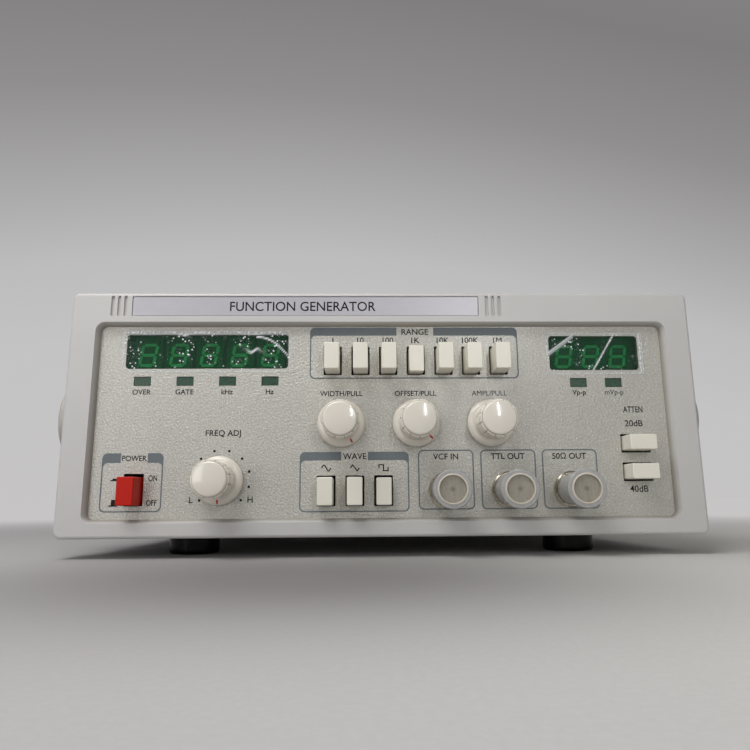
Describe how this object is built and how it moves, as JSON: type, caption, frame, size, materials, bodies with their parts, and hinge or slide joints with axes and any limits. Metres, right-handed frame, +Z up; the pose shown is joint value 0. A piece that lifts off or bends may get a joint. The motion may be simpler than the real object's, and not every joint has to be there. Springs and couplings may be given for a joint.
{
  "type": "function generator",
  "caption": "Bench function generator: recessed grey front panel with push-buttons, skirted knobs, green digital displays and coaxial jacks, in a boxy case with feet and a bail handle.",
  "frame": {"origin": "on the table under the middle of the whole object, feet down", "axes": "+X to the right as seen from the front, +Y from the front panel to the back, +Z up"},
  "size_m": [0.2948, 0.2314, 0.1321],
  "materials": {
    "bezel_plastic": "fine-textured warm light grey moulding",
    "nameplate_print": "satin printed label, pale lavender grey",
    "panel_paint": "fine speckled warm grey paint with printed legends",
    "green_window": "tinted green acrylic",
    "display_module": "seven-segment module, dark face",
    "lamp_lens": "diffusing green lens",
    "circuit_board": "glass-epoxy board with solder mask",
    "ivory_cap": "satin ivory plastic",
    "red_cap": "satin red plastic",
    "black_plastic": "black moulding",
    "knob_plastic": "polished warm ivory grey",
    "shaft_metal": "plated steel",
    "carriage_plastic": "natural acetal",
    "nickel": "nickel plate",
    "dust_cap_plastic": "translucent grey polythene",
    "cover_paint": "textured light grey powder paint",
    "bare_steel": "zinc-plated sheet steel",
    "foot_plastic": "gloss black plastic",
    "handle_plastic": "textured mid grey moulding",
    "grip_rubber": "ribbed black grip",
    "coil_tape": "yellow insulating tape"
  },
  "bodies": {
    "case": {"front_bezel": "bezel_plastic", "rear_frame": "bezel_plastic", "nameplate": "nameplate_print", "front_panel": "panel_paint", "counter_window": "green_window", "level_window": "green_window", "counter_digits": "display_module", "level_digits": "display_module", "unit_lamps": "lamp_lens", "display_boards": "circuit_board", "main_board": "circuit_board", "range_switch_bank": "black_plastic", "wave_switch_bank": "black_plastic", "attenuator_switch_bank": "black_plastic", "power_switch": "black_plastic", "power_inlet": "black_plastic", "board_parts": "black_plastic", "frequency_pot": "shaft_metal", "pull_pots": "shaft_metal", "board_standoffs": "shaft_metal", "screws": "shaft_metal", "bnc_jacks": "nickel", "panel_nuts": "nickel", "top_cover": "cover_paint", "bottom_chassis": "bare_steel", "rear_panel": "bare_steel", "transformer_core": "bare_steel", "feet": "foot_plastic", "handle_pivots": "handle_plastic", "transformer_coil": "coil_tape"},
    "power": {"power_button": "red_cap"},
    "range_1": {"range_button_1": "ivory_cap"},
    "range_10": {"range_button_10": "ivory_cap"},
    "range_100": {"range_button_100": "ivory_cap"},
    "range_1k": {"range_button_1k": "ivory_cap"},
    "range_10k": {"range_button_10k": "ivory_cap"},
    "range_100k": {"range_button_100k": "ivory_cap"},
    "range_1m": {"range_button_1m": "ivory_cap"},
    "wave_sine": {"wave_button_sine": "ivory_cap"},
    "wave_triangle": {"wave_button_triangle": "ivory_cap"},
    "wave_square": {"wave_button_square": "ivory_cap"},
    "attenuator_20db": {"attenuator_button_20db": "ivory_cap"},
    "attenuator_40db": {"attenuator_button_40db": "ivory_cap"},
    "frequency": {"frequency_knob": "knob_plastic", "frequency_shaft": "shaft_metal"},
    "pulse_pull": {"pulse_pull_carriage": "carriage_plastic"},
    "pulse": {"pulse_knob": "knob_plastic", "pulse_shaft": "shaft_metal"},
    "offset_pull": {"offset_pull_carriage": "carriage_plastic"},
    "offset": {"offset_knob": "knob_plastic", "offset_shaft": "shaft_metal"},
    "amplitude_pull": {"amplitude_pull_carriage": "carriage_plastic"},
    "amplitude": {"amplitude_knob": "knob_plastic", "amplitude_shaft": "shaft_metal"},
    "control_in_cap": {"control_in_dust_cap": "dust_cap_plastic"},
    "logic_out_cap": {"logic_out_dust_cap": "dust_cap_plastic"},
    "signal_out_cap": {"signal_out_dust_cap": "dust_cap_plastic"},
    "carry_handle": {"handle": "handle_plastic", "handle_grip": "grip_rubber"},
    "fuse": {"fuse_drawer": "black_plastic"}
  },
  "joints": [
    {"name": "power_press", "type": "slide", "parent": "case", "child": "power", "axis": [0, 1, 0], "range_m": [0, 0.005]},
    {"name": "range_1_press", "type": "slide", "parent": "case", "child": "range_1", "axis": [0, 1, 0], "range_m": [0, 0.006]},
    {"name": "range_10_press", "type": "slide", "parent": "case", "child": "range_10", "axis": [0, 1, 0], "range_m": [0, 0.006]},
    {"name": "range_100_press", "type": "slide", "parent": "case", "child": "range_100", "axis": [0, 1, 0], "range_m": [0, 0.006]},
    {"name": "range_1k_press", "type": "slide", "parent": "case", "child": "range_1k", "axis": [0, 1, 0], "range_m": [-0.006, 0]},
    {"name": "range_10k_press", "type": "slide", "parent": "case", "child": "range_10k", "axis": [0, 1, 0], "range_m": [0, 0.006]},
    {"name": "range_100k_press", "type": "slide", "parent": "case", "child": "range_100k", "axis": [0, 1, 0], "range_m": [0, 0.006]},
    {"name": "range_1m_press", "type": "slide", "parent": "case", "child": "range_1m", "axis": [0, 1, 0], "range_m": [0, 0.006]},
    {"name": "wave_sine_press", "type": "slide", "parent": "case", "child": "wave_sine", "axis": [0, 1, 0], "range_m": [0, 0.006]},
    {"name": "wave_triangle_press", "type": "slide", "parent": "case", "child": "wave_triangle", "axis": [0, 1, 0], "range_m": [0, 0.006]},
    {"name": "wave_square_press", "type": "slide", "parent": "case", "child": "wave_square", "axis": [0, 1, 0], "range_m": [-0.006, 0]},
    {"name": "attenuator_20db_press", "type": "slide", "parent": "case", "child": "attenuator_20db", "axis": [0, 1, 0], "range_m": [0, 0.005]},
    {"name": "attenuator_40db_press", "type": "slide", "parent": "case", "child": "attenuator_40db", "axis": [0, 1, 0], "range_m": [0, 0.005]},
    {"name": "frequency_turn", "type": "hinge", "parent": "case", "child": "frequency", "pos_m": [-0.0697, -0.0953, 0.0317], "axis": [0, 1, 0], "range_deg": [0, 300]},
    {"name": "pulse_pull_out", "type": "slide", "parent": "case", "child": "pulse_pull", "axis": [0, -1, 0], "range_m": [0, 0.005]},
    {"name": "pulse_turn", "type": "hinge", "parent": "pulse_pull", "child": "pulse", "pos_m": [-0.0183, -0.0953, 0.0557], "axis": [0, 1, 0], "range_deg": [-300, 0]},
    {"name": "offset_pull_out", "type": "slide", "parent": "case", "child": "offset_pull", "axis": [0, -1, 0], "range_m": [0, 0.005]},
    {"name": "offset_turn", "type": "hinge", "parent": "offset_pull", "child": "offset", "pos_m": [0.0141, -0.0953, 0.0557], "axis": [0, 1, 0], "range_deg": [-285, 15]},
    {"name": "amplitude_pull_out", "type": "slide", "parent": "case", "child": "amplitude_pull", "axis": [0, -1, 0], "range_m": [0, 0.005]},
    {"name": "amplitude_turn", "type": "hinge", "parent": "amplitude_pull", "child": "amplitude", "pos_m": [0.0465, -0.0953, 0.0557], "axis": [0, 1, 0], "range_deg": [-210, 90]},
    {"name": "control_in_cap_off", "type": "slide", "parent": "case", "child": "control_in_cap", "axis": [0, -1, 0], "range_m": [0, 0.02]},
    {"name": "logic_out_cap_off", "type": "slide", "parent": "case", "child": "logic_out_cap", "axis": [0, -1, 0], "range_m": [0, 0.02]},
    {"name": "signal_out_cap_off", "type": "slide", "parent": "case", "child": "signal_out_cap", "axis": [0, -1, 0], "range_m": [0, 0.02]},
    {"name": "handle_swing", "type": "hinge", "parent": "case", "child": "carry_handle", "pos_m": [0, -0.0613, 0.0608], "axis": [1, 0, 0], "range_deg": [0, 205]},
    {"name": "fuse_drawer_slide", "type": "slide", "parent": "case", "child": "fuse", "axis": [0, 1, 0], "range_m": [0, 0.014]}
  ]
}
